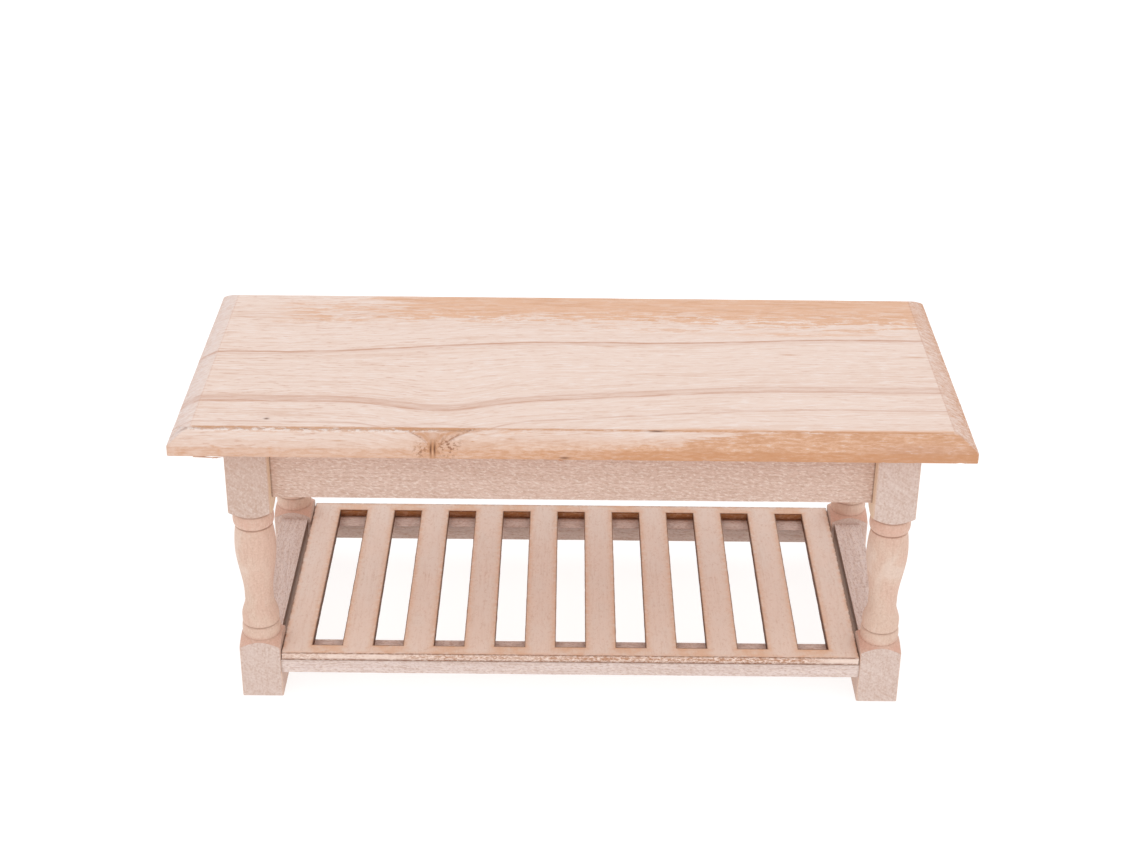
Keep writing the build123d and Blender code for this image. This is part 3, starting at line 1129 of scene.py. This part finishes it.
    @staticmethod
    def _fibre(bm: bmesh.types.BMesh, place: Vector, turn: Matrix, length: float, width: float) -> None:
        """A thin flattened fibre that tapers to both ends.

        Args:
            bm: the shape that it joins.
            place: the fibre's middle.
            turn: turns +Z to the fibre's direction.
            length: from end to end.
            width: its half width at the middle.
        """
        made = bmesh.ops.create_cone(
            bm,
            cap_ends=True,
            segments=6,
            radius1=width,
            radius2=width * 0.15,
            depth=length,
            matrix=Matrix.Translation(place) @ turn @ Matrix.Diagonal((0.55, 1.0, 1.0, 1.0)),
        )
        bmesh.ops.recalc_face_normals(bm, faces=list({face for vert in made["verts"] for face in vert.link_faces}))

    def dress(self, bm: bmesh.types.BMesh) -> bpy.types.Object:
        """Makes the board a piece with its finish."""
        wood = BoardWood("board_wood").make()
        return finish_piece(bm, "table_top", [wood], 40.0)


@dataclass
class TurnedLeg:
    """A square blank turned between its end blocks. Cuts are depths below the blank's faces."""

    node: str
    top_shoulder: float = 43.0 * MM
    foot_shoulder: float = 11.5 * MM
    top_slope: float = 0.70
    foot_slope: float = 0.79
    neck_cut: float = 0.45 * MM
    groove_cut: float = 0.75 * MM
    bead_cut: float = 0.06 * MM
    lower_bead_cut: float = 0.28 * MM
    cup_cut: float = 0.42 * MM
    waist_cut: float = 1.25 * MM
    vase_cut: float = 0.03 * MM
    bead_height: float = 2.8 * MM
    groove_height: float = 0.4 * MM
    lower_bead_height: float = 2.5 * MM
    lip_height: float = 1.5 * MM
    flare_height: float = 3.6 * MM
    waist_height: float = 1.5 * MM
    vase_shoulder: float = 4.8 * MM
    turns: int = 96
    eased: float = 0.14 * MM
    half: float = field(init=False)
    height: float = field(init=False)
    axis: Vector = field(init=False)

    def __post_init__(self) -> None:
        """Reads the blank's size and place from the frame."""
        low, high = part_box(self.node)
        self.half = (high.x - low.x) / 2
        self.height = high.z
        self.axis = Vector(((low.x + high.x) / 2, (low.y + high.y) / 2, 0))

    @staticmethod
    def bulge(low: Tuple[float, float], high: Tuple[float, float], out: float, count: int) -> List[Tuple[float, float]]:
        """A bead between two points of the profile.

        Args:
            low: the lower point, as radius and height.
            high: the upper point.
            out: the radius at the bead's middle.
            count: how many points to make after the first.

        Returns:
            The points, without the first.
        """
        points = []
        for index in range(1, count + 1):
            share = index / count
            base = low[0] + (high[0] - low[0]) * share
            radius = base + (out - (low[0] + high[0]) / 2) * math.sqrt(max(0.0, 1 - (2 * share - 1) ** 2))
            points.append((radius, low[1] + (high[1] - low[1]) * share))
        return points

    @staticmethod
    def ease(low: Tuple[float, float], high: Tuple[float, float], count: int) -> List[Tuple[float, float]]:
        """A flowing curve that leaves and arrives upright, without its first point."""
        points = []
        for index in range(1, count + 1):
            share = index / count
            step = share * share * (3 - 2 * share)
            points.append((low[0] + (high[0] - low[0]) * step, low[1] + (high[1] - low[1]) * share))
        return points

    @staticmethod
    def quarter(rim: Tuple[float, float], end: Tuple[float, float], count: int) -> List[Tuple[float, float]]:
        """A rounding that is upright at rim and reaches end, without the rim."""
        points = []
        for index in range(1, count + 1):
            share = index / count
            points.append((rim[0] + (end[0] - rim[0]) * share**2, rim[1] + (end[1] - rim[1]) * share))
        return points

    def levels(self) -> Dict[str, float]:
        """Heights of the turning's narrow places above the floor."""
        corner = self.half * math.sqrt(2)
        neck = self.half - self.neck_cut
        foot_neck = self.foot_shoulder + (corner - neck) * self.foot_slope
        top_neck = self.top_shoulder - (corner - neck) * self.top_slope
        lower_groove = foot_neck + self.lower_bead_height + self.groove_height / 2
        upper_groove = top_neck - self.bead_height - self.groove_height / 2
        return {"foot": foot_neck, "lower": lower_groove, "upper": upper_groove, "top": top_neck}

    def finish(self) -> TurnedWood:
        """The finish that fits this turning."""
        grooves = tuple(level / MM for level in self.levels().values())
        axis = (abs(self.axis.x) / MM, abs(self.axis.y) / MM)
        return TurnedWood("turned_wood", axis, self.half / MM, self.foot_shoulder / MM, grooves)

    def profile(self) -> List[Tuple[float, float]]:
        """The turning's half section from the floor up, as radii and heights."""
        corner = self.half * math.sqrt(2)
        beyond = corner + 1 * MM
        neck = self.half - self.neck_cut
        groove = self.half - self.groove_cut
        levels = self.levels()
        foot_neck, top_neck = levels["foot"], levels["top"]
        bead_top = foot_neck + self.lower_bead_height
        lip_bottom = bead_top + self.groove_height
        rim = (self.half - self.cup_cut, lip_bottom + self.lip_height)
        waist_low = (self.half - self.waist_cut, rim[1] + self.flare_height)
        waist_high = (waist_low[0], waist_low[1] + self.waist_height)
        bead_bottom = top_neck - self.bead_height
        vase_top = bead_bottom - self.groove_height
        vase = (self.half - self.vase_cut, vase_top - self.vase_shoulder)
        points = [(0.0, 0.0), (beyond, 0.0)]
        points.append((beyond, self.foot_shoulder - 1 * MM * self.foot_slope))
        points.append((neck, foot_neck))
        points += self.bulge((neck, foot_neck), (neck, bead_top), self.half - self.lower_bead_cut, 14)
        points.append((groove, (bead_top + lip_bottom) / 2))
        points.append((neck, lip_bottom))
        points += list(reversed(self.quarter(rim, (neck, lip_bottom), 6)))[1:] + [rim]
        points += self.ease(rim, waist_low, 14)
        points.append(waist_high)
        points += self.ease(waist_high, vase, 18)
        points += self.quarter(vase, (neck, vase_top), 10)
        points.append((groove, (vase_top + bead_bottom) / 2))
        points.append((neck, bead_bottom))
        points += self.bulge((neck, bead_bottom), (neck, top_neck), self.half - self.bead_cut, 16)
        points.append((beyond, self.top_shoulder + 1 * MM * self.top_slope))
        points.append((beyond, self.height))
        points.append((0.0, self.height))
        return points

    def build(self) -> bmesh.types.BMesh:
        """Spins the profile, then saws the flat faces and eased corners of the blank."""
        bm = bmesh.new()
        verts = [bm.verts.new((radius, 0, height)) for radius, height in self.profile()]
        edges = [bm.edges.new(pair) for pair in zip(verts, verts[1:])]
        bmesh.ops.spin(
            bm,
            geom=verts + edges,
            cent=(0, 0, 0),
            axis=(0, 0, 1),
            angle=2 * math.pi,
            steps=self.turns,
            use_merge=True,
        )
        bmesh.ops.remove_doubles(bm, verts=bm.verts, dist=1e-7)
        self._saw(bm, 0.0, self.half)
        corner = self.half * math.sqrt(2) - self.eased
        self._saw(bm, math.pi / 4, corner)
        bmesh.ops.translate(bm, verts=bm.verts, vec=self.axis)
        return bm

    def _saw(self, bm: bmesh.types.BMesh, turn: float, distance: float) -> None:
        """Cuts four flats round the leg's axis.

        Args:
            bm: the turning, about the origin.
            turn: the first flat's direction, in radians.
            distance: how far the flats are from the axis.
        """
        for quarter in range(4):
            angle = turn + quarter * math.pi / 2
            normal = Vector((math.cos(angle), math.sin(angle), 0))
            geometry = bm.verts[:] + bm.edges[:] + bm.faces[:]
            cut = bmesh.ops.bisect_plane(
                bm,
                geom=geometry,
                plane_co=normal * distance,
                plane_no=normal,
                clear_outer=True,
                dist=1e-7,
            )
            rim = [item for item in cut["geom_cut"] if isinstance(item, bmesh.types.BMEdge)]
            bmesh.ops.edgeloop_fill(bm, edges=[edge for edge in rim if edge.is_boundary])

    def dress(self, bm: bmesh.types.BMesh, wood: bpy.types.Material) -> bpy.types.Object:
        """Makes the leg a piece with the turned finish."""
        return finish_piece(bm, self.node, [wood], 32.0)


@dataclass
class Batten:
    """A sawn bar between two legs: an apron, a shelf rail or a stretcher."""

    node: str
    grain: Grain
    tenon_shoulder: Tuple[float, float] = (0.8 * MM, 1.9 * MM)
    eased: float = 0.10 * MM
    slices: int = 40

    def build(self) -> bmesh.types.BMesh:
        """Builds the bar with a stub tenon at both ends."""
        low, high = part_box(self.node)
        along = self.grain.value[0]
        body_low, body_high = low.copy(), high.copy()
        body_low[along] = -self.joint(self.grain)
        body_high[along] = self.joint(self.grain)
        bm = box_bmesh(body_low, body_high)
        arrises = [edge for edge in bm.edges if self._runs_along(edge, along)]
        ease_edges(bm, arrises, self.eased, 2)
        slice_along(bm, along, body_low[along], body_high[along], self.slices)
        pitch = Vector((1.5 * MM, 1.5 * MM, 1.5 * MM))
        pitch[along] = 9 * MM
        middle = (body_low[along] + body_high[along]) / 2
        span = (body_high[along] - body_low[along]) / 2
        inner = [vert for vert in bm.verts if abs(vert.co[along] - middle) < span - 0.1 * MM]
        roughen(inner, 0.03 * MM, pitch, float(len(self.node)), low, high)
        self._add_tenons(bm, along, low, high)
        return bm

    @staticmethod
    def joint(grain: Grain) -> float:
        """From the table's middle to the leg faces that a bar meets."""
        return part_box("leg_rear_right")[0][grain.value[0]]

    def _add_tenons(self, bm: bmesh.types.BMesh, along: int, low: Vector, high: Vector) -> None:
        """Draws a tenon out of each end face.

        Args:
            bm: the bar.
            along: the axis that it runs along.
            low: the lowest corner, tenons included.
            high: the highest corner, tenons included.
        """
        for sign in (-1, 1):
            end = max(bm.faces, key=lambda face: sign * face.calc_center_median()[along])
            middle = end.calc_center_median()
            made = bmesh.ops.extrude_discrete_faces(bm, faces=[end])
            face = made["faces"][0]
            shoulders = [0.0, 0.0, 0.0]
            across, upright = (axis for axis in range(3) if axis != along)
            shoulders[across], shoulders[upright] = self.tenon_shoulder
            size = high - low
            scale = Vector((1.0, 1.0, 1.0))
            for axis in (across, upright):
                scale[axis] = 1 - 2 * shoulders[axis] / size[axis]
            bmesh.ops.scale(bm, verts=face.verts, vec=scale, space=Matrix.Translation(-middle))
            made = bmesh.ops.extrude_discrete_faces(bm, faces=[face])
            offset = Vector((0, 0, 0))
            offset[along] = sign * (high[along] - self.joint(self.grain))
            bmesh.ops.translate(bm, verts=made["faces"][0].verts, vec=offset)

    @staticmethod
    def _runs_along(edge: bmesh.types.BMEdge, axis: int) -> bool:
        """True for an edge parallel to an axis."""
        return abs(edge.verts[0].co[axis] - edge.verts[1].co[axis]) > 1 * MM

    def dress(self, bm: bmesh.types.BMesh, wood: bpy.types.Material) -> bpy.types.Object:
        """Makes the bar a piece with a sawn finish."""
        return finish_piece(bm, self.node, [wood], 40.0)


@dataclass
class SlattedShelf:
    """The plywood shelf, with a row of cut slots between its slats."""

    slots: int = 9
    slot_width: float = 6.0 * MM
    end_slat: float = 5.9 * MM
    end_margin: float = 3.0 * MM
    low: Vector = field(init=False)
    high: Vector = field(init=False)

    def __post_init__(self) -> None:
        """Reads the panel's size from the frame."""
        self.low, self.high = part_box("slatted_shelf")

    @property
    def pitch(self) -> float:
        """From one slot's middle to the next."""
        length = self.high.x - self.low.x
        return (length - 2 * self.end_slat - self.slot_width) / (self.slots - 1)

    @property
    def slot_end(self) -> float:
        """From the middle of the panel to the end of a slot."""
        return self.high.y - self.end_margin

    def build(self) -> bmesh.types.BMesh:
        """Cuts the slots out of a sheet and gives it its thickness."""
        bm = bmesh.new()
        size = self.high - self.low
        place = Matrix.Translation((0, 0, self.low.z)) @ Matrix.Diagonal((size.x / 2, size.y / 2, 1, 1))
        bmesh.ops.create_grid(bm, x_segments=1, y_segments=1, size=1.0, matrix=place)
        first = -(self.slots - 1) / 2 * self.pitch
        walls = [first + index * self.pitch + side * self.slot_width / 2 for index in range(self.slots) for side in (-1, 1)]
        for x in walls:
            self._cut(bm, Vector((x, 0, 0)), Vector((1, 0, 0)))
        for y in (-self.slot_end, self.slot_end):
            self._cut(bm, Vector((0, y, 0)), Vector((0, 1, 0)))
        openings = [face for face in bm.faces if self._in_slot(face.calc_center_median())]
        bmesh.ops.delete(bm, geom=openings, context="FACES")
        made = bmesh.ops.extrude_face_region(bm, geom=bm.faces[:])
        raised = [item for item in made["geom"] if isinstance(item, bmesh.types.BMVert)]
        bmesh.ops.translate(bm, verts=raised, vec=(0, 0, size.z))
        bmesh.ops.recalc_face_normals(bm, faces=bm.faces)
        return self._detail(bm)

    def _detail(self, bm: bmesh.types.BMesh) -> bmesh.types.BMesh:
        """Rounds the slots' corners, wanders the cut a little and marks the walls' materials."""
        uprights = [edge for edge in bm.edges if abs(edge.verts[0].co.z - edge.verts[1].co.z) > 1 * MM]
        corners = [edge for edge in uprights if edge.calc_face_angle(0) > math.radians(60)]
        ease_edges(bm, corners, 0.16 * MM, 2)
        slice_along(bm, 1, self.low.y, self.high.y, 60)
        pitch = Vector((3 * MM, 2.2 * MM, 40 * MM))
        for vert in bm.verts:
            inside = abs(vert.co.x) < self.high.x - 0.3 * MM and abs(vert.co.y) < self.high.y - 0.3 * MM
            if inside:
                place = Vector((vert.co.x / pitch.x, vert.co.y / pitch.y, 0.0))
                vert.co.x += noise.noise(place) * 0.05 * MM
        bm.normal_update()
        for face in bm.faces:
            if abs(face.normal.z) < 0.5:
                middle = face.calc_center_median()
                outside = abs(middle.y) > self.high.y - 0.3 * MM or abs(middle.x) > self.high.x - 0.3 * MM
                beside = abs(face.normal.x) > 0.6
                face.material_index = 1 if outside else (2 if beside else 3)
        return bm

    @staticmethod
    def _cut(bm: bmesh.types.BMesh, place: Vector, normal: Vector) -> None:
        """Cuts every face on one plane."""
        geometry = bm.verts[:] + bm.edges[:] + bm.faces[:]
        bmesh.ops.bisect_plane(bm, geom=geometry, plane_co=place, plane_no=normal, dist=1e-7)

    def _in_slot(self, point: Vector) -> bool:
        """True for a point inside one of the slots."""
        if abs(point.y) > self.slot_end:
            return False
        reach = abs(point.x) / self.pitch
        return abs(reach - round(reach)) * self.pitch < self.slot_width / 2

    def dress(self, bm: bmesh.types.BMesh) -> bpy.types.Object:
        """Makes the shelf a piece with plywood faces and scorched cuts."""
        face = PlyFace(
            "ply_face",
            self.pitch / MM,
            self.slot_width / 2 / MM,
            self.slot_end / MM,
            (self.high.x / MM, self.high.y / MM),
        )
        rim = PlyEdge("ply_rim", self.low.z / MM, self.high.z / MM)
        charred = rgb(0.065, 0.024, 0.012)
        sides = PlyEdge("ply_slot_sides", self.low.z / MM, self.high.z / MM, toast=charred, burn_and_shade=0.97)
        ends = PlyEdge("ply_slot_ends", self.low.z / MM, self.high.z / MM, burn_and_shade=0.90)
        finishes = [finish.make() for finish in (face, rim, sides, ends)]
        return finish_piece(bm, "slatted_shelf", finishes)


# ---------------------------------------------------------------- studio


@dataclass
class Studio:
    """A pale floor, a soft white surround and an overhead softbox."""

    floor_size: float = 6.0
    sky: float = 0.56
    band: float = 0.70
    horizon: float = 0.46
    key_power: float = 0.8
    key_size: float = 0.9

    def build_floor(self) -> bpy.types.Object:
        """Lays the floor under the feet."""
        low, _ = CAD_BOX
        bm = bmesh.new()
        bmesh.ops.create_grid(bm, x_segments=4, y_segments=4, size=self.floor_size / 2)
        bmesh.ops.translate(bm, verts=bm.verts, vec=(0, 0, low.z))
        mesh = bpy.data.meshes.new("floor")
        bm.to_mesh(mesh)
        bm.free()
        mesh.materials.append(Backdrop().make())
        floor = bpy.data.objects.new("floor", mesh)
        bpy.context.scene.collection.objects.link(floor)
        return floor

    def light_up(self) -> None:
        """Adds the surround and the overhead softbox."""
        scene = bpy.context.scene
        scene.world = bpy.data.worlds.new("white_surround")
        scene.view_settings.view_transform = "Standard"
        shader = Shader(scene.world)
        direction = shader.node("ShaderNodeTexCoord", {}, {}, "Generated")
        up = shader.node("ShaderNodeSeparateXYZ", {}, {"Vector": direction}, "Z")
        strength = (up - 0.62).bell(0.25) * self.band + up.rise(0.30, 0.14) * self.horizon + self.sky
        inputs = {"Color": rgb(1.0, 1.0, 1.0), "Strength": strength}
        surround = shader.node("ShaderNodeBackground", {}, inputs)
        shader.add("ShaderNodeOutputWorld", {}, {"Surface": surround})
        self._softbox("key", Vector((0.15, -0.15, 1.0)), self.key_power, self.key_size)

    @staticmethod
    def _softbox(name: str, place: Vector, power: float, size: float) -> None:
        """Hangs a square light that faces the table.

        Args:
            name: the light's name.
            place: where it hangs.
            power: its power in watts.
            size: its side in metres.
        """
        light = bpy.data.lights.new(name, "AREA")
        light.energy = power
        light.size = size
        lamp = bpy.data.objects.new(name, light)
        bpy.context.scene.collection.objects.link(lamp)
        lamp.location = place
        lamp.rotation_euler = (-place).to_track_quat("-Z", "Y").to_euler()
        lamp.visible_camera = False


@dataclass
class ViewCamera:
    """A camera in front of the table and above it, looking down at the middle."""

    lens: float = 61.7
    distance: float = 0.4021
    aim: Vector = field(default_factory=lambda: Vector((-0.0005, 0.0, 0.0466)))
    pitch: float = 28.0
    heading: float = 0.1
    roll: float = 0.6

    def place(self) -> bpy.types.Object:
        """Makes the scene's camera."""
        data = bpy.data.cameras.new("camera")
        data.lens = self.lens
        data.clip_start = 0.01
        camera = bpy.data.objects.new("camera", data)
        bpy.context.scene.collection.objects.link(camera)
        turn = Matrix.Rotation(-math.radians(self.heading), 4, "Z")
        tilt = Matrix.Rotation(math.radians(90 - self.pitch), 4, "X")
        lean = Matrix.Rotation(math.radians(self.roll), 4, "Z")
        look = turn @ tilt @ lean
        back = look @ Vector((0, 0, self.distance))
        camera.matrix_world = Matrix.Translation(self.aim + back) @ look
        bpy.context.scene.camera = camera
        return camera


def main() -> None:
    """Builds the table piece by piece, then the studio round it."""
    logging.basicConfig(level=logging.INFO, format="%(name)s: %(message)s")
    ViewCamera().place()
    studio = Studio()
    studio.build_floor()
    studio.light_up()

    board = TopBoard()
    board.dress(board.build())

    legs = [TurnedLeg(f"leg_{row}_{side}") for row in ("front", "rear") for side in ("left", "right")]
    turned = legs[0].finish().make()
    for leg in legs:
        leg.dress(leg.build(), turned)

    end_x = Batten.joint(Grain.ALONG_X) / MM
    end_y = Batten.joint(Grain.ALONG_Y) / MM
    bar_low, bar_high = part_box("stretcher_right")
    # Places of the painted shadow and shade on the rails.
    shadow_start = (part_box("slatted_shelf")[1].y - SlattedShelf().end_margin) / MM
    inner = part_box("shelf_rail_rear")[0].y / MM
    # Paler copies of the sawn wood for the rails and stretchers: painted light that lifts them in the shade under the
    # top.
    lit_rail_pale = rgb(0.785, 0.645, 0.600)
    lit_bar_pale = rgb(0.840, 0.728, 0.692)
    lengthways = SawnWood("sawn_lengthways", Grain.ALONG_X, end_x).make()
    crossways = SawnWood("sawn_crossways", Grain.ALONG_Y, end_y).make()
    rail_wood = SawnWood(
        "sawn_rail",
        Grain.ALONG_X,
        end_x,
        pale=lit_rail_pale,
        spacing=1.6,
        lines=0.16,
        joint_shade=0.30,
        shadow_start=shadow_start,
        inner=inner,
        seed=4.0,
    ).make()
    bar_wood = SawnWood(
        "sawn_bar",
        Grain.ALONG_Y,
        end_y,
        pale=lit_bar_pale,
        spacing=1.6,
        lines=0.16,
        joint_shade=0.20,
        shaded_side=bar_low.x / MM,
        shaded_top=bar_high.z / MM,
        seed=6.0,
    ).make()
    for row in ("front", "rear"):
        apron = Batten(f"apron_{row}", Grain.ALONG_X)
        apron.dress(apron.build(), lengthways)
        rail = Batten(f"shelf_rail_{row}", Grain.ALONG_X, tenon_shoulder=(1.6 * MM, 0.7 * MM))
        rail.dress(rail.build(), rail_wood)
    for side in ("left", "right"):
        apron = Batten(f"apron_{side}", Grain.ALONG_Y)
        apron.dress(apron.build(), crossways)
        bar = Batten(f"stretcher_{side}", Grain.ALONG_Y, tenon_shoulder=(1.4 * MM, 1.25 * MM))
        bar.dress(bar.build(), bar_wood)

    shelf = SlattedShelf()
    shelf.dress(shelf.build())


if __name__ == "__main__":
    main()
